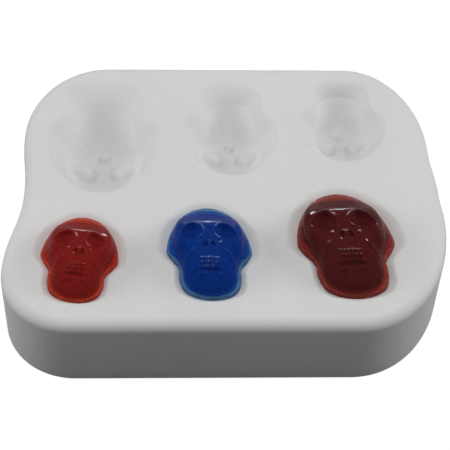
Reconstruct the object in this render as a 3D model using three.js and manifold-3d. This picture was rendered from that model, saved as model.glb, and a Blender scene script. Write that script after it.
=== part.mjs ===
// A slip-cast ceramic mould for glass skulls in three sizes, with three finished casts lying in it.
// Millimetres, +Z up. The origin is the middle of the underside, +X the long way, -Y the front.
import * as THREE from "three";
import { mergeVertices } from "three/addons/utils/BufferGeometryUtils.js";
import Module from "manifold-3d";

const wasm = await Module();
wasm.setup();

// The block: a shell, open underneath, its sides leaning in a little towards the top
const blockWidth = 190;
const blockDepth = 148.6;
const blockHeight = 38;
const wall = 6.5;
const sideDraft = 1.1;
const topEdgeRadius = 5;
const innerEdgeRadius = 4;

// Where the front and back edges run straight, from how far their ends stand in from the sides
const frontStraight = { from: 31.4 - blockWidth / 2, to: blockWidth / 2 - 43.3 };
const backStraight = { from: 41.8 - blockWidth / 2, to: blockWidth / 2 - 38.8 };

// The sides swell and draw in: the left side has a clear waist, the right one hardly any
const leftBackSwell = { x: 3.8 - blockWidth / 2, y: 31.3 };
const leftWaist = { x: 6.1 - blockWidth / 2, y: -1.2 };
const leftFrontSwell = { x: -blockWidth / 2, y: -43.3 };
const rightFrontSwell = { x: blockWidth / 2, y: -16.5 };
const rightWaist = { x: blockWidth / 2 - 0.8, y: -2.5 };
const rightBackSwell = { x: blockWidth / 2 - 2.5, y: 23.9 };
const cornerPull = 0.56;
const sidePull = 0.45;

// The skull, at the size of the large one: its length runs from chin to crown, and its face
// stands inside a flat brim
const skullLength = 53.6;
const skullWidth = 40.8;
const brimHeight = 2.2;
const brimDraft = 0.4;
const faceAcross = 0.87;
const faceAlong = 0.98;

// The ledge of the brim turns into a steep side at the temples, and the foot of the face rises
// there, over the first shares of the length; towards the crown it comes down over the last
const temples = { from: [0.36, 0.54], to: [0.76, 0.97], slope: 0.35, rise: 3.2 };

// The mouths of the cavities: how far they flare out past the skull, and how deep they roll over
const sideFlare = 4.9;
const crownFlare = 4;
const frontChinFlare = 3.5;
const backDepth = 5;
const frontDepth = 2.4;
const mouthRoundness = 1.6;
const castLift = 0.4;

// The three sizes of the one skull
const largeScale = 1;
const mediumScale = 0.865;
const smallScale = 0.79;

// The back row, its chins to the back: where each skull lies and how its mouth flares past the
// chin
const backRow = {
  large: { x: -54.7, y: 26.2, chinFlare: 12.2 },
  medium: { x: 2.1, y: 31.7, chinFlare: 9.2 },
  small: { x: 53.2, y: 37.4, chinFlare: 6.8 },
};

// The front row, its chins to the front: each is turned a little on the block
const frontRow = {
  small: { x: -61.9, y: -39.2, turn: -8 },
  medium: { x: -8, y: -36.1, turn: -2 },
  large: { x: 49.9, y: -31.7, turn: 6 },
};

// Half outlines of the skull, of the face inside its brim and of a cavity's mouth: shares of
// the length from chin to crown, and shares of the greatest half width
const outlineStops = [
  [0, 0], [0.03, 0.4], [0.08, 0.595], [0.17, 0.7], [0.25, 0.725], [0.31, 0.715], [0.36, 0.77],
  [0.42, 0.885], [0.5, 1], [0.6, 0.985], [0.68, 0.94], [0.79, 0.82], [0.9, 0.6],
  [0.965, 0.365], [1, 0],
];
const faceStops = [
  [0, 0], [0.016, 0.255], [0.045, 0.432], [0.09, 0.56], [0.15, 0.64], [0.2, 0.677],
  [0.27, 0.687], [0.32, 0.746], [0.38, 0.87], [0.45, 0.96], [0.5, 0.982], [0.6, 1],
  [0.68, 0.99], [0.79, 0.905], [0.9, 0.675], [0.965, 0.41], [1, 0],
];
const mouthStops = [
  [0, 0], [0.03, 0.4], [0.08, 0.57], [0.15, 0.67], [0.25, 0.69], [0.33, 0.7], [0.38, 0.78],
  [0.44, 0.93], [0.49, 1], [0.6, 0.985], [0.68, 0.94], [0.79, 0.815], [0.9, 0.6],
  [0.965, 0.365], [1, 0],
];

// How high the face stands over the brim along its middle line, and how square it is across
const profileStops = [
  [0, 0], [0.03, 3.8], [0.08, 6.8], [0.16, 9], [0.26, 10.2], [0.4, 10.2], [0.52, 9.5],
  [0.64, 8.6], [0.75, 8.9], [0.83, 8], [0.9, 6.1], [0.96, 3.3], [1, 0],
];
const fullnessStops = [[0, 2.6], [0.3, 3.6], [0.6, 3.6], [0.82, 2.7], [1, 2.3]];

// The features of the face: where they lie from its middle, how far they reach across and
// along, how high they stand (below nought, how deep they go), how they are swung in degrees,
// and how they taper outwards
const eyeSocket = { x: 8.8, y: 7.1, across: 5.8, along: 4.7, height: -6.2, turn: -22, taper: 0.25 };
const brow = { x: 7.8, y: 13, across: 7.2, along: 2.6, height: 1.1, turn: -14, taper: 0 };
const nostril = { x: 1.8, y: -1.4, across: 1.5, along: 3, height: -2.6, turn: 18, taper: 0 };
const lipHollow = { x: 0, y: -7.3, across: 5.4, along: 2.4, height: -0.8, turn: 0, taper: 0 };
const cheekbone = { x: 12.8, y: 0.6, across: 4.4, along: 3.4, height: 1.4, turn: 24, taper: 0 };
const cheekHollow = { x: 11.8, y: -6.8, across: 3, along: 4.2, height: -1.4, turn: -26, taper: 0 };
const cheekLine = { x: 9.4, y: -8.2, across: 1.1, along: 5.8, height: 1.2, turn: 36, taper: 0 };
const chinCrease = { x: 0, y: -18.4, across: 8, along: 1.6, height: -1.3, turn: 0, taper: 0 };
const mouth = { x: 0, y: -13.9, across: 8.2, along: 4.8, height: 0.6, turn: 0, taper: 0 };
const tooth = { across: 1.05, height: 1.1, turn: 0, taper: 0, pitch: 2, perRow: 6 };
const upperTeeth = { y: -12.2, along: 1.6 };
const lowerTeeth = { y: -15.6, along: 1.5 };

// The grid of the face: stations from chin to crown, and columns from the middle to the edge
const stations = [
  0, 0.018, 0.06, 0.11, 0.155, 0.185, 0.21, 0.24, 0.27, 0.3, 0.34, 0.385, 0.43, 0.48, 0.53,
  0.58, 0.63, 0.68, 0.735, 0.8, 0.87, 0.93, 0.975, 1,
];
const columns = [0.08, 0.16, 0.24, 0.32, 0.4, 0.48, 0.6, 0.74, 0.86, 0.95, 1];

// A manifold solid from patches of triangles that meet edge to edge
function solidFrom(patches) {
  const geometry = new THREE.BufferGeometry();
  const positions = patches.flat(2).flatMap((p) => [p.x, p.y, p.z]);
  geometry.setAttribute("position", new THREE.Float32BufferAttribute(positions, 3));
  const merged = mergeVertices(geometry, 1e-5);
  const triangles = [];
  for (let i = 0; i < merged.index.count; i += 3) {
    const [a, b, c] = merged.index.array.slice(i, i + 3);
    if (a !== b && b !== c && c !== a) triangles.push(a, b, c);
  }
  return new wasm.Manifold(new wasm.Mesh({
    numProp: 3,
    vertProperties: Float32Array.from(merged.attributes.position.array),
    triVerts: Uint32Array.from(triangles),
  }));
}

function geometryOf(solid) {
  const mesh = solid.getMesh();
  const geometry = new THREE.BufferGeometry();
  geometry.setAttribute("position", new THREE.BufferAttribute(mesh.vertProperties, 3));
  geometry.setIndex(new THREE.BufferAttribute(mesh.triVerts, 1));
  geometry.computeVertexNormals();
  return geometry;
}

// The triangles between rows with as many points each; they face up where the rows run
// towards +X and follow each other towards +Y
function sheet(rows) {
  const triangles = [];
  for (let j = 0; j < rows.length - 1; j += 1) {
    for (let i = 0; i < rows[j].length - 1; i += 1) {
      const [a, b] = [rows[j][i], rows[j][i + 1]];
      const [d, c] = [rows[j + 1][i], rows[j + 1][i + 1]];
      triangles.push([a, b, c], [a, c, d]);
    }
  }
  return triangles;
}

// The skin round a stack of closed rings, each counterclockwise from above, from low to high
function skin(rings) {
  return sheet(rings.map((ring) => [...ring, ring[0]]));
}

function flatFace(ring, facesUp) {
  const outline = ring.map((p) => new THREE.Vector2(p.x, p.y));
  const corners = THREE.ShapeUtils.triangulateShape(outline, []);
  return corners.map(([a, b, c]) => (facesUp ? [ring[a], ring[b], ring[c]] : [ring[a], ring[c], ring[b]]));
}

// The outline of the block, counterclockwise from the left end of the front edge
function blockOutline() {
  const path = new THREE.Shape();
  let here = { x: frontStraight.from, y: -blockDepth / 2 };
  const straightTo = (to) => {
    path.lineTo(to.x, to.y);
    here = to;
  };
  const roundToSide = (to) => {
    path.bezierCurveTo(
      here.x + cornerPull * (to.x - here.x), here.y,
      to.x, to.y + cornerPull * (here.y - to.y), to.x, to.y,
    );
    here = to;
  };
  const roundToEdge = (to) => {
    path.bezierCurveTo(
      here.x, here.y + cornerPull * (to.y - here.y),
      to.x + cornerPull * (here.x - to.x), to.y, to.x, to.y,
    );
    here = to;
  };
  const alongSide = (to) => {
    const pull = sidePull * (to.y - here.y);
    path.bezierCurveTo(here.x, here.y + pull, to.x, to.y - pull, to.x, to.y);
    here = to;
  };
  path.moveTo(here.x, here.y);
  straightTo({ x: frontStraight.to, y: -blockDepth / 2 });
  roundToSide(rightFrontSwell);
  alongSide(rightWaist);
  alongSide(rightBackSwell);
  roundToEdge({ x: backStraight.to, y: blockDepth / 2 });
  straightTo({ x: backStraight.from, y: blockDepth / 2 });
  roundToSide(leftBackSwell);
  alongSide(leftWaist);
  alongSide(leftFrontSwell);
  roundToEdge({ x: frontStraight.from, y: -blockDepth / 2 });
  return path.getPoints(8).slice(0, -1);
}

// The block's outline drawn in by an even distance, at one height
function blockRing(inset, z) {
  const outline = blockOutline();
  return outline.map((p, i) => {
    const next = outline[(i + 1) % outline.length];
    const along = new THREE.Vector2().subVectors(next, outline.at(i - 1)).normalize();
    return new THREE.Vector3(p.x - along.y * inset, p.y + along.x * inset, z);
  });
}

// A block with leaning sides and a rounded top edge
function roundedBlock(inset, bottom, top, radius, steps) {
  const rings = [blockRing(inset, bottom)];
  for (let i = 0; i <= steps; i += 1) {
    const angle = (i / steps) * (Math.PI / 2);
    const drawnIn = inset + sideDraft + radius * (1 - Math.cos(angle));
    rings.push(blockRing(drawnIn, top - radius * (1 - Math.sin(angle))));
  }
  return solidFrom([skin(rings), flatFace(rings[0], false), flatFace(rings.at(-1), true)]);
}

// A smooth curve through stops given as [share, value], blunt at both ends like a circle
function alongStops(stops, share) {
  const spread = (t) => Math.acos(1 - 2 * t);
  const slope = (i) => {
    const from = stops[Math.max(0, i - 1)];
    const to = stops[Math.min(stops.length - 1, i + 1)];
    return (to[1] - from[1]) / (spread(to[0]) - spread(from[0]));
  };
  const next = Math.max(1, stops.findIndex((stop) => stop[0] >= share));
  const start = spread(stops[next - 1][0]);
  const width = spread(stops[next][0]) - start;
  const u = (spread(share) - start) / width;
  return (2 * u ** 3 - 3 * u ** 2 + 1) * stops[next - 1][1]
    + (u ** 3 - 2 * u ** 2 + u) * width * slope(next - 1)
    + (3 * u ** 2 - 2 * u ** 3) * stops[next][1]
    + (u ** 3 - u ** 2) * width * slope(next);
}

// How much of a feature there is at one point: 1 in its middle, 0 from its rim outwards
function amount(feature, x, y) {
  const angle = THREE.MathUtils.degToRad(feature.turn);
  const dx = x - feature.x;
  const dy = y - feature.y;
  const u = (dx * Math.cos(angle) + dy * Math.sin(angle)) / feature.across;
  const along = feature.along * (1 - feature.taper * THREE.MathUtils.clamp(u, -1, 1));
  const v = (dy * Math.cos(angle) - dx * Math.sin(angle)) / along;
  return Math.max(0, 1 - u * u - v * v);
}

// A soft feature fades out at its rim, and a dished one has a crisp rim
function soft(feature, x, y) {
  return feature.height * amount(feature, x, y) ** 1.5;
}

function dished(feature, x, y) {
  return feature.height * amount(feature, x, y) ** 0.7;
}

function teethHeight(x, y) {
  const half = (tooth.perRow - 1) / 2;
  const middle = Math.min(half, Math.round(x / tooth.pitch - half % 1) + half % 1) * tooth.pitch;
  const heights = [upperTeeth, lowerTeeth].map((row) => dished({ ...tooth, ...row, x: middle }, x, y));
  return Math.max(...heights);
}

// How much of the temples' steep side there is: 1 at the widest part of the skull
function templeShare(share) {
  const { smoothstep } = THREE.MathUtils;
  return smoothstep(share, ...temples.from) * (1 - smoothstep(share, ...temples.to));
}

// How high the foot of the face lies over the flat back
function footHeight(share) {
  return brimHeight + temples.rise * templeShare(share);
}

// The height of the face over the flat back; side counts from 0 in the middle to 1 at the edge
function faceHeight(x, y, share, side) {
  const arch = Math.sqrt(1 - side ** alongStops(fullnessStops, share));
  const raised = soft(brow, x, y) + soft(cheekbone, x, y) + soft(cheekLine, x, y)
    + soft(mouth, x, y) + teethHeight(x, y);
  const hollow = dished(eyeSocket, x, y) + dished(nostril, x, y) + soft(lipHollow, x, y)
    + soft(cheekHollow, x, y) + soft(chinCrease, x, y);
  const foot = footHeight(share);
  const top = brimHeight + alongStops(profileStops, share) + raised + hollow;
  return foot + Math.max(0, top - foot) * arch;
}

// The right half of an outline by its stations, from the chin to the crown
function halfRing(stops, halfWidth, length, z, middle = 0, shares = stations) {
  return shares.map((share) => new THREE.Vector3(
    halfWidth * alongStops(stops, share), middle + (share - 0.5) * length, z,
  ));
}

// A whole ring from its right half, counterclockwise from the chin
function wholeRing(half) {
  const left = half.slice(1, -1).reverse().map((p) => new THREE.Vector3(-p.x, p.y, p.z));
  return [...half, ...left];
}

// The skull's flat back, the top of its side and the foot of its face, as right halves
function skullHalves() {
  const back = halfRing(outlineStops, skullWidth / 2, skullLength, 0);
  const side = halfRing(
    outlineStops, skullWidth / 2 - brimDraft, skullLength - 2 * brimDraft, brimHeight,
  );
  const face = halfRing(faceStops, faceAcross * skullWidth / 2, faceAlong * skullLength, 0);
  face.forEach((p, i) => p.setZ(footHeight(stations[i])));
  side.forEach((p, i) => p.lerp(face[i], temples.slope * templeShare(stations[i])));
  return [back, side, face];
}

// The face inside the brim, as rows of points across it
function faceRows() {
  const sides = [...columns.map((side) => -side).reverse(), 0, ...columns];
  const [, , edge] = skullHalves();
  return stations.map((share, i) => sides.map((side) => {
    const x = side * edge[i].x;
    const { y } = edge[i];
    return new THREE.Vector3(x, y, faceHeight(Math.abs(x), y, share, Math.abs(side)));
  }));
}

// A face over a stack of rings, from the lowest to the foot of the face
function skullSolid(halves) {
  const rings = halves.map(wholeRing);
  return solidFrom([flatFace(rings[0], false), skin(rings), sheet(faceRows())]);
}

// A cutter for one cavity: its rolled-over mouth, from just above the block down to the first
// of the halves, and the face under them
function cavitySolid(depth, chinFlare, halves) {
  const aboveTop = 1;
  const length = skullLength + crownFlare + chinFlare;
  const middle = (crownFlare - chinFlare) / 2;
  const rim = halfRing(mouthStops, skullWidth / 2 + sideFlare, length, -depth, middle);
  const above = rim.map((p) => p.clone().setZ(-depth - aboveTop));
  const rolled = [0, 0.4, 0.72].map((share) => rim.map((p, i) => {
    const foot = halves[0][i];
    return p.clone().lerp(foot, share).setZ(-depth + (foot.z + depth) * share ** mouthRoundness);
  }));
  return skullSolid([above, ...rolled, ...halves]);
}

// The smooth bulge under a cavity, with a given thickness round the face
function bulgeSolid(thickness) {
  const shares = stations.filter((share, i) => i % 2 === 0 || share === 1);
  const halfWidth = faceAcross * skullWidth / 2 + thickness;
  const length = faceAlong * skullLength + 2 * thickness;
  const height = brimHeight + Math.max(...profileStops.map((stop) => stop[1])) + thickness;
  const rings = [1, 0.98, 0.88, 0.66].map((reach) => wholeRing(halfRing(
    outlineStops, halfWidth * reach, length * reach, height * Math.sqrt(1 - reach ** 4), 0, shares,
  )));
  return solidFrom([flatFace(rings[0], false), skin(rings), flatFace(rings.at(-1), true)]);
}

// Puts a solid made face up on its back into the top of the block, face down
function placeInBlock(solid, { x, y, scale, turn, depth }) {
  return solid
    .translate([0, 0, depth])
    .rotate([0, 180, 0])
    .rotate([0, 0, turn])
    .scale(scale)
    .translate([x, y, blockHeight]);
}

function mouldBody() {
  const halves = skullHalves();
  const chinToBack = { turn: 180, depth: backDepth, halves: halves.slice(-1) };
  const chinToFront = { chinFlare: frontChinFlare, depth: frontDepth, halves };
  const places = [
    { ...backRow.large, ...chinToBack, scale: largeScale },
    { ...backRow.medium, ...chinToBack, scale: mediumScale },
    { ...backRow.small, ...chinToBack, scale: smallScale },
    { ...frontRow.small, ...chinToFront, scale: smallScale },
    { ...frontRow.medium, ...chinToFront, scale: mediumScale },
    { ...frontRow.large, ...chinToFront, scale: largeScale },
  ];
  const openBelow = -1;
  let hollow = roundedBlock(wall, openBelow, blockHeight - wall, innerEdgeRadius, 2);
  let body = roundedBlock(0, 0, blockHeight, topEdgeRadius, 5);
  for (const place of places) {
    const cavity = cavitySolid(place.depth, place.chinFlare, place.halves);
    hollow = hollow.subtract(placeInBlock(bulgeSolid(wall / place.scale), place));
    body = body.subtract(placeInBlock(cavity, place));
  }
  return body.subtract(hollow);
}

function addMesh(group, name, solid, material) {
  const mesh = new THREE.Mesh(geometryOf(solid), new THREE.MeshStandardMaterial(material));
  mesh.name = name;
  group.add(mesh);
  return mesh;
}

const mould = new THREE.Group();
addMesh(mould, "mould_body", mouldBody(), { color: 0xeceae6, roughness: 0.85, metalness: 0 });

// The casts lie face up on the front row's mouths, their backs a hair above the seat
const casts = [
  { name: "glass_skull_small", place: frontRow.small, scale: smallScale, color: 0xd8291a },
  { name: "glass_skull_medium", place: frontRow.medium, scale: mediumScale, color: 0x1338b0 },
  { name: "glass_skull_large", place: frontRow.large, scale: largeScale, color: 0x5a1712 },
];
for (const { name, place, scale, color } of casts) {
  const cast = skullSolid(skullHalves()).scale(scale).rotate([0, 0, place.turn]);
  const mesh = addMesh(mould, name, cast, { color, roughness: 0.08, metalness: 0 });
  mesh.position.set(place.x, place.y, blockHeight - frontDepth * scale + castLift);
}

export default mould;
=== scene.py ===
"""The looks of the skull mould: the fired clay block and the three glass casts lying in it."""
import math

import bmesh
import bpy
import numpy as np
from mathutils import Matrix, Vector


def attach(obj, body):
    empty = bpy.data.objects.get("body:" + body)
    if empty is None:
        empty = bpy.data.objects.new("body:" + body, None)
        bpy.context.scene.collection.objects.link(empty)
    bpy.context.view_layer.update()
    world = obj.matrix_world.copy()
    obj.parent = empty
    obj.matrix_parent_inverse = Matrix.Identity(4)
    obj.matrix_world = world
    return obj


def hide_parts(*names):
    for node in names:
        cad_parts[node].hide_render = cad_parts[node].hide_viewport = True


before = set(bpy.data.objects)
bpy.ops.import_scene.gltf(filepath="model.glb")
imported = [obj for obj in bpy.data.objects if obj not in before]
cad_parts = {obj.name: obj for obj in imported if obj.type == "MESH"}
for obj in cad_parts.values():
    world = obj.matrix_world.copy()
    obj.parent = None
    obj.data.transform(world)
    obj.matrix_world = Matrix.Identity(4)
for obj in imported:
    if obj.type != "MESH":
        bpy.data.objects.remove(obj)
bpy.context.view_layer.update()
MM = 0.001

# The block, in millimetres, about the middle of its underside
BLOCK_HEIGHT = 38.0
FRONT, BACK = -74.3, 74.3
WALL = 6.5
SIDE_DRAFT = 1.1
TOP_EDGE_RADIUS = 5.0
INNER_EDGE_RADIUS = 4.0
FOOT_RADIUS = 0.8
FRONT_STRAIGHT = (-63.6, 51.7)
BACK_STRAIGHT = (-53.2, 56.2)
LEFT_BACK_SWELL = (-91.2, 31.3)
LEFT_WAIST = (-88.9, -1.2)
LEFT_FRONT_SWELL = (-95.0, -43.3)
RIGHT_FRONT_SWELL = (95.0, -16.5)
RIGHT_WAIST = (94.2, -2.5)
RIGHT_BACK_SWELL = (92.5, 23.9)
CORNER_PULL = 0.56
SIDE_PULL = 0.45

# The skull at the size of the large one, in millimetres: the face stands inside a flat brim
SKULL_LENGTH = 53.6
SKULL_WIDTH = 40.8
BRIM_HEIGHT = 2.2
BRIM_DRAFT = 0.4
FACE_ACROSS = 0.87
FACE_ALONG = 0.98

# The brim's ledge turns into a steep side at the temples, and the face's foot rises there,
# over the first shares of the length; towards the crown it comes down again over the second
TEMPLES_FROM = (0.36, 0.54)
TEMPLES_TO = (0.76, 0.97)
TEMPLE_SLOPE = 0.35
TEMPLE_RISE = 3.2

# The mouths of the cavities: how far they flare out past the skull, and how deep they roll over
SIDE_FLARE = 4.9
CROWN_FLARE = 4.0
FRONT_CHIN_FLARE = 3.5
BACK_DEPTH = 5.0
FRONT_DEPTH = 2.4
MOUTH_ROUNDNESS = 1.6

# The back row, its chins to the back: middle of each skull, scale and flare past its chin
BACK_ROW = [((-54.7, 26.2), 1.0, 12.2), ((2.1, 31.7), 0.865, 9.2), ((53.2, 37.4), 0.79, 6.8)]

# The casts, each in line with the front cavity under it: middle, scale and turn in degrees.
# The back of each lies a hair above the depth that the mouth of its cavity rolls over to
CASTS = {
    "glass_skull_small": ((-61.9, -39.2), 0.79, -8.0),
    "glass_skull_medium": ((-8.0, -36.1), 0.865, -2.0),
    "glass_skull_large": ((49.9, -31.7), 1.0, 2.5),
}
CAST_LIFT = 0.4

# The casts and the front cavities lean to the left towards the crown, and the face of each cast
# leans sideways as it rises: millimetres for each millimetre of length and of height
CAST_LEAN = 0.06
FACE_LEANS = {"glass_skull_small": 0.08, "glass_skull_medium": -0.03, "glass_skull_large": -0.16}

# Half outlines of the skull, the face inside its brim and the cavity's mouth: shares of the
# length from chin to crown, and shares of the greatest half width
OUTLINE_STOPS = [
    (0, 0), (0.03, 0.4), (0.08, 0.595), (0.17, 0.7), (0.25, 0.725), (0.31, 0.715), (0.36, 0.77),
    (0.42, 0.885), (0.5, 1), (0.6, 0.985), (0.68, 0.94), (0.79, 0.82), (0.9, 0.6), (0.965, 0.365),
    (1, 0),
]
FACE_STOPS = [
    (0, 0), (0.016, 0.29), (0.045, 0.49), (0.09, 0.625), (0.15, 0.7), (0.2, 0.725),
    (0.27, 0.735), (0.32, 0.77), (0.38, 0.845), (0.45, 0.915), (0.5, 0.94), (0.6, 0.955),
    (0.68, 0.93), (0.79, 0.83), (0.9, 0.6), (0.965, 0.36), (1, 0),
]
MOUTH_STOPS = [
    (0, 0), (0.03, 0.4), (0.08, 0.57), (0.15, 0.67), (0.25, 0.69), (0.33, 0.7), (0.38, 0.78),
    (0.44, 0.93), (0.49, 1), (0.6, 0.985), (0.68, 0.94), (0.79, 0.815), (0.9, 0.6),
    (0.965, 0.365), (1, 0),
]

# The rise of the face over its brim along the middle, how square it is across, and the power
# of its rise from its edge: one half makes a blunt edge
PROFILE_STOPS = [
    (0, 0), (0.012, 2.2), (0.04, 4.1), (0.09, 6.0), (0.14, 7.5), (0.19, 8.8), (0.24, 9.4),
    (0.3, 9.7), (0.4, 9.9), (0.52, 9.5), (0.64, 8.9), (0.71, 8.6), (0.75, 7.7), (0.8, 6.2),
    (0.86, 4.6), (0.92, 3.0), (0.97, 1.5), (1, 0),
]
FULLNESS_STOPS = [
    (0, 2.3), (0.15, 2.6), (0.25, 3.6), (0.38, 6), (0.6, 6), (0.7, 4.2), (0.82, 2.4), (1, 2),
]
EDGE_POWER = 0.5

# The same for the cavities, which are softer bowls with a long slope to the chin
CAVITY_PROFILE_STOPS = [
    (0, 0), (0.05, 1.6), (0.1, 3.2), (0.2, 6.1), (0.3, 8.7), (0.4, 10.4), (0.48, 10.4), (0.6, 9.2),
    (0.72, 8.6), (0.83, 7.7), (0.9, 6.1), (0.96, 3.6), (1, 0),
]
CAVITY_FULLNESS_STOPS = [(0, 2), (0.3, 2), (0.6, 2.4), (0.82, 2.5), (1, 2.2)]
CAVITY_EDGE_POWER = 1.0

# How square the bulges under the cavities are in section
BULGE_SQUARENESS = 4

# How finely the meshes are divided, and how much their rows close up towards the ends
CAVITY_ROWS, CAVITY_COLUMNS = 96, 44
CAST_ROWS, CAST_COLUMNS = 180, 84
BULGE_ROWS, BULGE_STEPS = 40, 14
MOUTH_STEPS = 16
OUTLINE_STEPS = 40
TOP_EDGE_STEPS, INNER_EDGE_STEPS, FOOT_STEPS = 12, 8, 4
ROW_CLOSENESS, COLUMN_CLOSENESS = 0.6, 0.55

# In millimetres, points closer than the first are one, and edges shorter than the second go
MERGE_DISTANCE = 0.002
SLIVER_LENGTH = 0.0005

# Edges that turn more than this stay crisp
CREASE_ANGLE = math.radians(50)


class Feature:
    """One raised or hollow feature of the face, an ellipse or egg in plan, in millimetres."""

    def __init__(self, x, y, across, along, height, turn=0.0, taper=0.0):
        self.x, self.y, self.across, self.along = x, y, across, along
        self.height, self.turn, self.taper = height, math.radians(turn), taper

    def squares(self, x, y):
        """0 in the feature's middle and 1 on its rim."""
        dx, dy = x - self.x, y - self.y
        u = (dx * math.cos(self.turn) + dy * math.sin(self.turn)) / self.across
        v = (dy * math.cos(self.turn) - dx * math.sin(self.turn)) / self.along
        v = v / (1 - self.taper * np.clip(u, -1, 1))
        return u * u + v * v

    def amount(self, x, y):
        """1 in the feature's middle and 0 from its rim outwards."""
        return np.maximum(0.0, 1.0 - self.squares(x, y))

    def soft(self, x, y):
        """Its height where it fades out gently at the rim."""
        return self.height * self.amount(x, y) ** 1.5

    def rounded(self, x, y):
        """Its height where it is round all over."""
        return self.height * self.amount(x, y)

    def dished(self, x, y):
        """Its height where the rim is steep and the middle broad."""
        return self.height * self.amount(x, y) ** 0.7

    def lip(self, x, y, height, width):
        """A rounded lip just outside the feature's rim."""
        out = np.sqrt(self.squares(x, y)) - 1 - width
        return height * np.exp(-(out / width) ** 2)


# The features of a cast, in millimetres from the middle of its face, each on both sides of it.
# The cavities share the ones of the cheeks
EYE_SOCKET = Feature(8.4, 5.0, 5.4, 4.0, -2.9, -24, 0.25)
BROW = Feature(8.0, 10.0, 7.6, 1.8, 0.6, -20)
NOSE = Feature(0.9, -1.7, 0.7, 1.8, 0.45, 20)
NOSTRIL = Feature(1.7, -2.6, 1.2, 1.9, -1.8, 18)
LIP_HOLLOW = Feature(0.0, -7.3, 5.4, 2.4, -0.3)
CHEEKBONE = Feature(12.8, -0.4, 4.0, 3.2, 1.0, 24)
CHEEK_HOLLOW = Feature(11.8, -6.8, 3.0, 4.2, -1.4, -26)
CHEEK_LINE = Feature(9.6, -9.2, 0.9, 5.2, 0.9, 35)
KNOBS = [Feature(12.2, -12.6, 1.2, 1.2, 0.8), Feature(12.9, -3.4, 1.0, 1.2, 0.6),
         Feature(13.2, -6.2, 1.0, 1.0, 0.5), Feature(5.6, -1.6, 0.9, 0.9, 0.4)]
CHIN_CREASE = Feature(0.0, -17.0, 7.0, 1.0, -0.9)
CHIN_RIDGE = Feature(4.2, -18.9, 2.8, 1.1, 0.85, -14)
TOOTH_PITCH = 1.6
TOOTH_HALF_WIDTH = 0.85
TEETH_PER_ROW = 6

# The gums and the two rows of teeth: place along the face, half length and height
TEETH_ROWS = [(-11.0, 1.0, 0.7), (-13.4, 1.1, 0.9), (-15.6, 1.0, 0.9)]

# The lip round each eye of a cast: height in millimetres and width as a share of the eye's
EYE_LIP = (0.6, 0.13)

# In the cavities the eyes are high mounds with a lip like that, and the teeth are worn soft
CAVITY_EYE = Feature(8.8, 7.1, 5.8, 4.2, -4.6, -22, 0.3)
CAVITY_EYE_LIP = (0.9, 0.14)
CAVITY_NOSE = Feature(1.1, -2.0, 1.4, 2.6, -2.0, 25)
CAVITY_TEETH_SHARE = 0.25


def along_stops(stops, share, blunt=True):
    """A smooth curve through [share, value] stops; its ends can be blunt like a circle's."""
    places = np.array([stop[0] for stop in stops], float)
    values = np.array([stop[1] for stop in stops], float)
    last = len(stops) - 1
    before = np.maximum(np.arange(last + 1) - 1, 0)
    after = np.minimum(np.arange(last + 1) + 1, last)
    place = np.clip(share, 0, 1)
    if blunt:
        places, place = np.arccos(1 - 2 * places), np.arccos(1 - 2 * place)
    slopes = (values[after] - values[before]) / (places[after] - places[before])
    i = np.clip(np.searchsorted(places, place), 1, last)
    width = places[i] - places[i - 1]
    u = (place - places[i - 1]) / width
    return ((2 * u ** 3 - 3 * u ** 2 + 1) * values[i - 1]
            + (u ** 3 - 2 * u ** 2 + u) * width * slopes[i - 1]
            + (3 * u ** 2 - 2 * u ** 3) * values[i]
            + (u ** 3 - u ** 2) * width * slopes[i])


def teeth_height(x, y):
    """How far the gums and the two rows of teeth stand out."""
    half = (TEETH_PER_ROW - 1) / 2
    middle = np.minimum(half, np.round(x / TOOTH_PITCH - half % 1) + half % 1) * TOOTH_PITCH
    heights = [
        Feature(0.0, row_y, TOOTH_HALF_WIDTH, along, height).rounded(x - middle, y)
        for row_y, along, height in TEETH_ROWS
    ]
    return np.maximum.reduce(heights)


def smooth_step(value, low, high):
    """0 below low, 1 above high, and level at both."""
    t = np.clip((value - low) / (high - low), 0, 1)
    return t * t * (3 - 2 * t)


def temple_share(share):
    """How much of the temples' steep side there is: 1 at the widest part of the skull."""
    return smooth_step(share, *TEMPLES_FROM) * (1 - smooth_step(share, *TEMPLES_TO))


def foot_height(share):
    """How high the foot of the face lies over the flat back."""
    return BRIM_HEIGHT + TEMPLE_RISE * temple_share(share)


def glass_relief(x, y):
    """How far the features of a cast stand out of its face, or lie in it where less than 0."""
    return (BROW.soft(x, y) + CHEEKBONE.soft(x, y) + CHEEK_LINE.soft(x, y) + NOSE.soft(x, y)
            + CHIN_RIDGE.soft(x, y) + sum(knob.soft(x, y) for knob in KNOBS) + teeth_height(x, y)
            + EYE_SOCKET.lip(x, y, *EYE_LIP) + EYE_SOCKET.dished(x, y) + NOSTRIL.dished(x, y)
            + LIP_HOLLOW.soft(x, y) + CHEEK_HOLLOW.soft(x, y) + CHIN_CREASE.dished(x, y))


def cavity_relief(x, y):
    """The same for a cavity, which is made like a face and then turned over."""
    return (CAVITY_EYE.dished(x, y) + CAVITY_EYE.lip(x, y, *CAVITY_EYE_LIP)
            + CHEEK_HOLLOW.soft(x, y) + CHEEKBONE.soft(x, y)
            + CHEEK_LINE.soft(x, y) + CAVITY_NOSE.dished(x, y)
            + teeth_height(x, y) * CAVITY_TEETH_SHARE)


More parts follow.
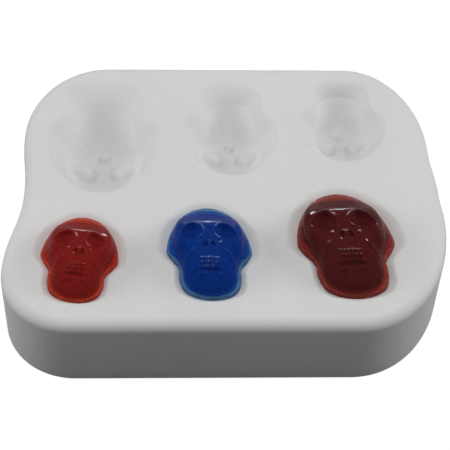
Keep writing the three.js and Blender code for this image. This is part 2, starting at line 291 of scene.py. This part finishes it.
def face_height(x, y, share, side, in_glass):
    """The height of the face over the flat back, in millimetres."""
    x, side = np.abs(x), np.abs(side)
    profile, fullness, power, relief = (
        (PROFILE_STOPS, FULLNESS_STOPS, EDGE_POWER, glass_relief) if in_glass
        else (CAVITY_PROFILE_STOPS, CAVITY_FULLNESS_STOPS, CAVITY_EDGE_POWER, cavity_relief))
    arch = np.maximum(0.0, 1 - side ** along_stops(fullness, share)) ** power
    foot = foot_height(share)
    top = BRIM_HEIGHT + along_stops(profile, share, blunt=in_glass) + relief(x, y)
    return foot + np.maximum(0.0, top - foot) * arch


def spread(count, ends):
    """Shares from 0 to 1, closer together towards the ends the larger ends is."""
    even = np.linspace(0, 1, count + 1)
    return (1 - ends) * even + ends * (1 - np.cos(math.pi * even)) / 2


def half_ring(stops, shares, half_width, length, z, middle=0.0):
    """The right half of an outline, from the chin to the crown."""
    x = half_width * along_stops(stops, shares)
    return np.column_stack([x, middle + (shares - 0.5) * length, np.full(len(x), z)])


def whole(half):
    """A ring, counterclockwise from the chin, from its right half."""
    return np.concatenate([half, half[-2:0:-1] * (-1, 1, 1)])


def skull_halves(shares):
    """The skull's back, the top of its side, and the foot of the face."""
    back = half_ring(OUTLINE_STOPS, shares, SKULL_WIDTH / 2, SKULL_LENGTH, 0)
    side = half_ring(
        OUTLINE_STOPS, shares, SKULL_WIDTH / 2 - BRIM_DRAFT, SKULL_LENGTH - 2 * BRIM_DRAFT, BRIM_HEIGHT)
    face = half_ring(FACE_STOPS, shares, FACE_ACROSS * SKULL_WIDTH / 2, FACE_ALONG * SKULL_LENGTH, 0)
    face[:, 2] = foot_height(shares)
    side += (face - side) * (TEMPLE_SLOPE * temple_share(shares))[:, None]
    return [back, side, face]


class Skin:
    """Gathers the faces of one piece from sheets and rings of points, in millimetres."""

    def __init__(self):
        self.bm = bmesh.new()

    def sheet(self, rows, flip=False):
        """Four-sided faces between rows of points with as many points each."""
        verts = [[self.bm.verts.new(p) for p in row] for row in rows]
        for low, high in zip(verts, verts[1:]):
            for i in range(len(low) - 1):
                corners = [low[i], low[i + 1], high[i + 1], high[i]]
                self.bm.faces.new(corners[::-1] if flip else corners).smooth = True

    def rings(self, rings, flip=False):
        """The same between closed rings."""
        self.sheet([np.vstack([ring, ring[:1]]) for ring in rings], flip)

    def flat(self, outer, holes, up):
        """A flat face inside a ring, with the rings of its holes left open."""
        edges = []
        for ring in [outer, *holes]:
            verts = [self.bm.verts.new(p) for p in ring]
            edges += [self.bm.edges.new((a, b)) for a, b in zip(verts, verts[1:] + verts[:1])]
        made = bmesh.ops.triangle_fill(
            self.bm, use_beauty=True, use_dissolve=False, edges=edges, normal=(0, 0, 1))
        faces = [item for item in made["geom"] if isinstance(item, bmesh.types.BMFace)]
        for face in faces:
            face.smooth = False
            face.normal_update()
            if (face.normal.z > 0) != up:
                face.normal_flip()

    def finish(self, name):
        """The piece as an object, its doubles merged, in metres."""
        bmesh.ops.remove_doubles(self.bm, verts=self.bm.verts, dist=MERGE_DISTANCE)
        bmesh.ops.dissolve_degenerate(self.bm, edges=self.bm.edges, dist=SLIVER_LENGTH)
        bmesh.ops.scale(self.bm, vec=(MM, MM, MM), verts=self.bm.verts)
        mesh = bpy.data.meshes.new(name)
        self.bm.to_mesh(mesh)
        self.bm.free()
        mesh.set_sharp_from_angle(angle=CREASE_ANGLE)
        obj = bpy.data.objects.new(name, mesh)
        bpy.context.collection.objects.link(obj)
        return obj


def bezier(p0, p1, p2, p3, steps):
    """Points of a cubic curve, without its last."""
    t = np.linspace(0, 1, steps, endpoint=False)[:, None]
    p0, p1, p2, p3 = (np.array(p, float) for p in (p0, p1, p2, p3))
    return ((1 - t) ** 3 * p0 + 3 * (1 - t) ** 2 * t * p1
            + 3 * (1 - t) * t * t * p2 + t ** 3 * p3)


def block_outline(steps=OUTLINE_STEPS):
    """The block's outline, counterclockwise from the left end of the front edge."""

    def round_to_side(p, q):
        pull = (p[0] + CORNER_PULL * (q[0] - p[0]), p[1])
        return bezier(p, pull, (q[0], q[1] + CORNER_PULL * (p[1] - q[1])), q, steps)

    def round_to_edge(p, q):
        pull = (q[0] + CORNER_PULL * (p[0] - q[0]), q[1])
        return bezier(p, (p[0], p[1] + CORNER_PULL * (q[1] - p[1])), pull, q, steps)

    def along_side(p, q):
        pull = SIDE_PULL * (q[1] - p[1])
        return bezier(p, (p[0], p[1] + pull), (q[0], q[1] - pull), q, steps // 2)

    front_left, front_right = [(x, FRONT) for x in FRONT_STRAIGHT]
    back_left, back_right = [(x, BACK) for x in BACK_STRAIGHT]
    return np.concatenate([
        bezier(front_left, front_left, front_right, front_right, steps // 2),
        round_to_side(front_right, RIGHT_FRONT_SWELL),
        along_side(RIGHT_FRONT_SWELL, RIGHT_WAIST),
        along_side(RIGHT_WAIST, RIGHT_BACK_SWELL),
        round_to_edge(RIGHT_BACK_SWELL, back_right),
        bezier(back_right, back_right, back_left, back_left, steps // 2),
        round_to_side(back_left, LEFT_BACK_SWELL),
        along_side(LEFT_BACK_SWELL, LEFT_WAIST),
        along_side(LEFT_WAIST, LEFT_FRONT_SWELL),
        round_to_edge(LEFT_FRONT_SWELL, front_left),
    ])


def drawn_in(outline, inset, z):
    """The block's outline drawn in by an even distance, at one height."""
    along = np.roll(outline, -1, 0) - np.roll(outline, 1, 0)
    along /= np.linalg.norm(along, axis=1)[:, None]
    inward = np.column_stack([-along[:, 1], along[:, 0]])
    return np.column_stack([outline + inward * inset, np.full(len(outline), z)])


def rounded_edge(outline, inset, top, radius, steps):
    """Rings over a rounded top edge, from the top of the leaning side to the flat top."""
    inset += SIDE_DRAFT
    angles = np.linspace(0, math.pi / 2, steps + 1)
    return [drawn_in(outline, inset + radius * (1 - math.cos(a)), top - radius * (1 - math.sin(a)))
            for a in angles]


def rounded_foot(outline, inset, way):
    """Rings over one edge of the foot's rim, from the ground up: 1 for the outer, -1 for the inner."""
    angles = np.linspace(0, math.pi / 2, FOOT_STEPS + 1)
    return [drawn_in(outline, inset + way * FOOT_RADIUS * (1 - math.sin(a)),
                     FOOT_RADIUS * (1 - math.cos(a))) for a in angles]


def face_sheet(shares, sides, in_glass):
    """Rows of points across the face inside the brim."""
    edge = skull_halves(shares)[-1]
    share = np.repeat(shares[:, None], len(sides), axis=1)
    side = np.repeat(sides[None, :], len(shares), axis=0)
    x = side * edge[:, :1]
    y = np.repeat(edge[:, 1:2], len(sides), axis=1)
    return np.stack([x, y, face_height(x, y, share, side, in_glass)], axis=-1)


def both_sides(count, ends):
    """Shares across the face, from -1 to 1, closer together towards its edges."""
    half = np.sin(spread(count, 0) * math.pi / 2) * ends + spread(count, 0) * (1 - ends)
    return np.concatenate([-half[:0:-1], half])


def turned(points, degrees, lean):
    """Points with their far end leant over to the left and then turned about the middle."""
    angle = math.radians(degrees)
    x, y, z = points[..., 0] - lean * points[..., 1], points[..., 1], points[..., 2]
    turned_x = x * math.cos(angle) - y * math.sin(angle)
    turned_y = x * math.sin(angle) + y * math.cos(angle)
    return np.stack([turned_x, turned_y, z], axis=-1)


def into_block(points, middle, scale, turn, lean, depth):
    """Turns a skull made face up on its back face down into the block's top."""
    flipped = points * (-scale, scale, -scale)
    return turned(flipped, turn, lean) + (*middle, BLOCK_HEIGHT - depth * scale)


def mouth_rings(shares, depth, chin_flare, foot):
    """The rolled-over mouth of a cavity, from the block's top down to a half ring."""
    mouth = half_ring(
        MOUTH_STOPS, shares, SKULL_WIDTH / 2 + SIDE_FLARE, SKULL_LENGTH + CROWN_FLARE + chin_flare,
        -depth, (CROWN_FLARE - chin_flare) / 2)
    rings = []
    for share in np.linspace(0, 1, MOUTH_STEPS, endpoint=False):
        half = mouth + (foot - mouth) * share
        half[:, 2] = -depth + (foot[:, 2] + depth) * share ** MOUTH_ROUNDNESS
        rings.append(whole(half))
    return rings


def bulge_rings(shares, scale, depth):
    """The bulge under a cavity, from the roof of the hollow to its lowest point."""
    thickness = WALL / scale
    half_width = FACE_ACROSS * SKULL_WIDTH / 2 + thickness
    length = FACE_ALONG * SKULL_LENGTH + 2 * thickness
    height = BRIM_HEIGHT + max(rise for _, rise in PROFILE_STOPS) + thickness
    roof = (1 - ((thickness - depth) / height) ** 2) ** (1 / BULGE_SQUARENESS)
    rings = []
    for reach in roof * np.cos(np.linspace(0, math.pi / 2, BULGE_STEPS)):
        z = height * math.sqrt(1 - reach ** BULGE_SQUARENESS)
        rings.append(whole(half_ring(OUTLINE_STOPS, shares, half_width * reach, length * reach, z)))
    return rings


def make_block():
    """The whole clay block: top, six cavities, sides, rim and the open underside."""
    skin = Skin()
    outline = block_outline()
    shares = spread(CAVITY_ROWS, ROW_CLOSENESS)
    sides = both_sides(CAVITY_COLUMNS, COLUMN_CLOSENESS)
    halves = skull_halves(shares)
    cavities = [(halves[2:], BACK_DEPTH, chin_flare, middle, scale, 180, 0)
                for middle, scale, chin_flare in BACK_ROW]
    cavities += [(halves, FRONT_DEPTH, FRONT_CHIN_FLARE, *cast, CAST_LEAN)
                 for cast in CASTS.values()]
    face = face_sheet(shares, sides, in_glass=False)
    under_shares = spread(BULGE_ROWS, ROW_CLOSENESS)
    holes, under_holes = [], []
    for below, depth, chin_flare, middle, scale, turn, lean in cavities:
        place = (middle, scale, turn, lean, depth)
        rings = mouth_rings(shares, depth, chin_flare, below[0]) + [whole(half) for half in below]
        rings = [into_block(ring, *place) for ring in rings]
        skin.rings(rings)
        skin.sheet(into_block(face, *place))
        holes.append(rings[0])
        bulge = [into_block(ring, *place) for ring in bulge_rings(under_shares, scale, depth)]
        skin.rings(bulge, flip=True)
        under_holes.append(bulge[0])
    outside = rounded_foot(outline, 0, 1)
    outside += rounded_edge(outline, 0, BLOCK_HEIGHT, TOP_EDGE_RADIUS, TOP_EDGE_STEPS)
    skin.rings(outside)
    skin.flat(outside[-1], holes, up=True)
    inside = rounded_foot(outline, WALL, -1)
    inside += rounded_edge(outline, WALL, BLOCK_HEIGHT - WALL, INNER_EDGE_RADIUS, INNER_EDGE_STEPS)
    skin.rings(inside, flip=True)
    skin.flat(inside[-1], under_holes, up=False)
    skin.rings([inside[0], outside[0]])
    return skin.finish("clay_block")


def cast_back(scale):
    """The height of a cast's back, in millimetres."""
    return BLOCK_HEIGHT - FRONT_DEPTH * scale + CAST_LIFT


def make_cast(name, middle, scale, turn):
    """One glass cast, face up on its flat back."""
    skin = Skin()
    shares = spread(CAST_ROWS, ROW_CLOSENESS)
    sides = both_sides(CAST_COLUMNS, COLUMN_CLOSENESS)

    def place(points):
        """The points leant, scaled, turned and set on the block."""
        leant = points + points[..., 2:] * (FACE_LEANS[name], 0, 0)
        return turned(leant * scale, turn, CAST_LEAN) + (*middle, cast_back(scale))

    rings = [place(whole(half)) for half in skull_halves(shares)]
    skin.rings(rings)
    skin.sheet(place(face_sheet(shares, sides, in_glass=True)))
    skin.flat(rings[0], [], up=False)
    return skin.finish(name.replace("glass_skull", "cast"))


class Shade:
    """A socket in a shader tree, so that sums on sockets read as Python."""

    def __init__(self, finish, socket):
        self.finish, self.socket = finish, socket

    def _maths(self, operation, *values):
        return self.finish.node("ShaderNodeMath", {"operation": operation}, dict(enumerate(values)))

    def __add__(self, other):
        return self._maths("ADD", self, other)

    def __radd__(self, other):
        return self._maths("ADD", other, self)

    def __sub__(self, other):
        return self._maths("SUBTRACT", self, other)

    def __mul__(self, other):
        return self._maths("MULTIPLY", self, other)

    def clamped(self):
        """The same value, kept between 0 and 1."""
        return self.finish.node("ShaderNodeClamp", {}, {"Value": self})


class Finish:
    """A shader tree and the one way of adding nodes to it."""

    def __init__(self, owner):
        owner.use_nodes = True
        self.owner, self.tree = owner, owner.node_tree
        self.tree.nodes.clear()

    def node(self, kind, settings=None, inputs=None, output=0):
        """Adds a node: its settings first, then its sockets' values or links; gives an output."""
        node = self.tree.nodes.new(kind)
        for key, value in (settings or {}).items():
            if key == "stops":
                self.set_stops(node.color_ramp, value)
            else:
                setattr(node, key, value)
        for key, value in (inputs or {}).items():
            if isinstance(value, Shade):
                self.tree.links.new(value.socket, node.inputs[key])
            else:
                node.inputs[key].default_value = value
        return Shade(self, node.outputs[output]) if node.outputs else None

    @staticmethod
    def set_stops(ramp, stops):
        """Gives a colour ramp its places and colours."""
        for index, (place, colour) in enumerate(stops):
            stop = ramp.elements[index] if index < 2 else ramp.elements.new(place)
            stop.position, stop.color = place, (*colour, 1)

    def place(self):
        """Where a point lies on the piece, in metres."""
        return self.node("ShaderNodeTexCoord", output="Object")

    def noise(self, scale, detail, roughness, vector=None):
        """Even random patches, with scale of them to the metre."""
        return self.node("ShaderNodeTexNoise", {}, {
            "Vector": vector or self.place(), "Scale": scale, "Detail": detail,
            "Roughness": roughness})

    def ramp(self, value, low, high):
        """0 below low, 1 above high and even between them."""
        return self.node("ShaderNodeMapRange", {}, {
            "Value": value, "From Min": low, "From Max": high})

    def mix(self, share, first, second):
        """A colour between two: the first at 0 and the second at 1."""
        return self.node("ShaderNodeMix", {"data_type": "RGBA"}, {
            "Factor": share, "A": first, "B": second}, "Result")


def colour_of(rgb):
    """A colour with nothing see-through about it."""
    return (*rgb, 1)


def bisque_material():
    """Unglazed fired clay: off-white, matt, with a fine tooth, pinholes and sponge marks."""
    finish = Finish(bpy.data.materials.new("white_bisque"))
    place = finish.place()
    patches = finish.noise(22.0, 3.0, 0.55)
    colour = finish.node("ShaderNodeValToRGB", {"stops": [
        (0.3, (0.725, 0.725, 0.72)), (0.7, (0.76, 0.76, 0.755))]}, {"Fac": patches})
    grain = finish.noise(1900.0, 2.0, 0.6)
    drawn_out = finish.node("ShaderNodeMapping", {}, {"Vector": place, "Scale": (1, 1, 14)})
    sponge = finish.noise(55.0, 3.0, 0.6, drawn_out)
    pits = finish.node("ShaderNodeTexVoronoi", {}, {"Vector": place, "Scale": 130.0})
    height = grain * 0.35 + sponge * 0.3 + finish.ramp(pits, 0.03, 0.09) * 0.5
    bump = finish.node("ShaderNodeBump", {}, {
        "Height": height, "Strength": 0.35, "Distance": 0.0002})
    shader = finish.node("ShaderNodeBsdfPrincipled", {}, {
        "Base Color": colour, "Roughness": 0.78 + patches * 0.12, "Normal": bump,
        "Specular IOR Level": 0.03})
    finish.node("ShaderNodeOutputMaterial", {}, {"Surface": shader})
    return finish.owner


# Where along its full thickness, in millimetres, a glass has the colour of the brim and of the
# steep side, which is partly its own and partly painted shade near the cast's foot, is at its
# brightest, and is deep
FULL_THICKNESS = 12.5
GLASS_STOPS = (0.18, 0.22, 0.28, 0.36)

# A painted glow of light through the crown, from the first place along the skull, full at the second:
# the colour is made as if the glass were thinner there by this share of its full thickness
PAINTED_CROWN_GLOW_PLACES = (4.0, 20.0)
PAINTED_CROWN_GLOW = 0.2

# Darker swirls in the glass: how strong they are, and how much of the deep colour they keep
SWIRL_DEPTH = 0.45
SWIRL_SHADE = 0.35

# How strongly the glass absorbs light to the metre, and the settings of its surface
GLASS_DENSITY = 200.0
GLASS_SURFACE = {
    "Roughness": 0.06, "IOR": 1.15, "Transmission Weight": 0.2, "Specular IOR Level": 0.15}


def glass_material(name, brim, side, thin, deep, absorbed, middle, back, scale):
    """Cast glass, fire-polished in front: deep where it is thick, brighter where it is thin, with
    painted shade on its steep side and a painted glow of light through the crown.
    """
    finish = Finish(bpy.data.materials.new(name))
    along, height = [
        finish.node("ShaderNodeSeparateXYZ", {}, {"Vector": finish.place()}, axis) for axis in "YZ"]
    crown_from, crown_to = [(middle + place * scale) * MM for place in PAINTED_CROWN_GLOW_PLACES]
    thickness = finish.ramp(height, back * MM, (back + FULL_THICKNESS * scale) * MM)
    # Painted glow: the crown's colour is lightened as if light shone through thinner glass there
    thickness = thickness - finish.ramp(along, crown_from, crown_to) * PAINTED_CROWN_GLOW
    # The side's stop carries painted shade near the foot of the cast
    stops = list(zip(GLASS_STOPS, (brim, side, thin, deep)))
    clear = finish.node("ShaderNodeValToRGB", {"stops": stops}, {"Fac": thickness})
    swirl = finish.ramp(finish.noise(900.0, 3.0, 0.6), 0.4, 0.7) * SWIRL_DEPTH
    colour = finish.mix(swirl, clear, colour_of([v * SWIRL_SHADE for v in deep]))
    bump = finish.node("ShaderNodeBump", {}, {
        "Height": finish.noise(420.0, 3.0, 0.6), "Strength": 0.08, "Distance": 0.0002})
    shader = finish.node("ShaderNodeBsdfPrincipled", {}, {
        **GLASS_SURFACE, "Base Color": colour, "Normal": bump})
    volume = finish.node("ShaderNodeVolumeAbsorption", {}, {
        "Color": colour_of(absorbed), "Density": GLASS_DENSITY})
    finish.node("ShaderNodeOutputMaterial", {}, {"Surface": shader, "Volume": volume})
    return finish.owner


def seen_or_reflected(finish):
    """1 for what the camera sees straight, in a gloss or through glass; 0 for light's own paths."""
    rays = ["Is Camera Ray", "Is Glossy Ray", "Is Transmission Ray"]
    camera, glossy, through = [finish.node("ShaderNodeLightPath", output=ray) for ray in rays]
    return (camera + glossy + through).clamped()


# The table, its half width in millimetres, and the dim light of the white room
FLOOR_HALF_WIDTH = 3000.0
FLOOR_COLOUR = 0.25
FLOOR_GLOW = 0.9
ROOM_LIGHT = 0.13


def floor_material():
    """A pale table: white where it is seen, with the object's shadow, and dim as a light."""
    finish = Finish(bpy.data.materials.new("pale_floor"))
    table = finish.node("ShaderNodeBsdfDiffuse", {}, {"Color": colour_of([FLOOR_COLOUR] * 3)})
    glow = finish.node("ShaderNodeEmission", {}, {"Color": colour_of([1] * 3), "Strength": FLOOR_GLOW})
    lit = finish.node("ShaderNodeAddShader", {}, {0: table, 1: glow})
    surface = finish.node("ShaderNodeMixShader", {}, {
        "Fac": seen_or_reflected(finish), 1: table, 2: lit})
    finish.node("ShaderNodeOutputMaterial", {}, {"Surface": surface})
    return finish.owner


def make_floor():
    """A wide floor under the object."""
    skin = Skin()
    corners = np.array([(-1, -1, 0), (1, -1, 0), (1, 1, 0), (-1, 1, 0)])
    skin.flat(FLOOR_HALF_WIDTH * corners, [], up=True)
    floor = skin.finish("floor")
    floor.data.materials.append(floor_material())


def area_light(name, place, target, size, power, for_gloss=False):
    """A soft box that lights the matt surfaces, or a lamp that only shows in the gloss."""
    lamp = bpy.data.lights.new(name, "AREA")
    lamp.shape, lamp.size, lamp.size_y = "RECTANGLE", size[0], size[1]
    lamp.energy = power
    obj = bpy.data.objects.new(name, lamp)
    obj.location = place
    obj.rotation_euler = (Vector(target) - Vector(place)).to_track_quat("-Z", "Y").to_euler()
    obj.visible_glossy = for_gloss
    obj.visible_diffuse = not for_gloss
    bpy.context.collection.objects.link(obj)


def make_lights():
    """Soft boxes overhead and at the sides, a low window that only shows in the gloss, and a room."""
    area_light("overhead", (0.0, 0.0, 0.95), (0, 0, 0), (0.5, 0.4), 4.2)
    area_light("left_side", (-0.85, 0.05, 0.35), (0, 0, 0.02), (0.3, 0.3), 2.4)
    area_light("right_side", (0.85, 0.05, 0.35), (0, 0, 0.02), (0.3, 0.3), 2.6)
    area_light("window", (0.05, 0.88, 0.3), (0, 0, 0), (0.8, 0.14), 40.0, for_gloss=True)
    finish = Finish(bpy.data.worlds.new("white_room"))
    seen = finish.node("ShaderNodeLightPath", output="Is Camera Ray")
    sky = finish.node("ShaderNodeBackground", {}, {
        "Color": colour_of([1] * 3), "Strength": ROOM_LIGHT + seen * (1 - ROOM_LIGHT)})
    finish.node("ShaderNodeOutputWorld", {}, {"Surface": sky})
    bpy.context.scene.world = finish.owner


# The camera, from a fit to the block's outline in the photograph
EYE = (-0.0192, -0.3309, 0.4358)
VIEW_RIGHT = (0.9994, -0.0216, 0.0284)
VIEW_UP = (-0.0003, 0.7898, 0.6133)
VIEW_AHEAD = (0.0357, 0.6129, -0.7893)
FOCAL_PIXELS = 1192.3
PHOTO_PIXELS = 450
SENSOR_WIDTH = 36.0


def make_camera():
    """The camera at the photograph's point of view."""
    camera = bpy.data.cameras.new("camera")
    camera.sensor_width = SENSOR_WIDTH
    camera.lens = FOCAL_PIXELS * SENSOR_WIDTH / PHOTO_PIXELS
    obj = bpy.data.objects.new("camera", camera)
    turn = Matrix((VIEW_RIGHT, VIEW_UP, tuple(-v for v in VIEW_AHEAD))).transposed()
    obj.matrix_world = Matrix.Translation(EYE) @ turn.to_4x4()
    bpy.context.collection.objects.link(obj)
    bpy.context.scene.camera = obj


# The finish of each glass: body, slot, colour in the brim, on the side with painted shade in it,
# where it is thin and where it is thick, and what it lets through
GLASSES = {
    "glass_skull_small": (
        "small_cast", "orange_red_glass", (0.62, 0.075, 0.045), (0.42, 0.03, 0.018),
        (0.52, 0.026, 0.012), (0.27, 0.019, 0.016), (0.95, 0.12, 0.05)),
    "glass_skull_medium": (
        "medium_cast", "cobalt_blue_glass", (0.11, 0.24, 0.46), (0.01, 0.06, 0.26),
        (0.006, 0.1, 0.55), (0.006, 0.042, 0.28), (0.1, 0.3, 0.9)),
    "glass_skull_large": (
        "large_cast", "dark_red_glass", (0.36, 0.065, 0.05), (0.26, 0.035, 0.027),
        (0.27, 0.034, 0.026), (0.105, 0.016, 0.018), (0.7, 0.1, 0.1)),
}

bpy.context.scene.view_settings.view_transform = "Standard"
make_camera()
make_lights()
make_floor()
block = make_block()
block.data.materials.append(bisque_material())
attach(block, "mould")
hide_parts("mould_body")
for node, (middle, scale, turn) in CASTS.items():
    body, slot, *glass = GLASSES[node]
    cast = make_cast(node, middle, scale, turn)
    cast.data.materials.append(glass_material(slot, *glass, middle[1], cast_back(scale), scale))
    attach(cast, body)
    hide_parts(node)
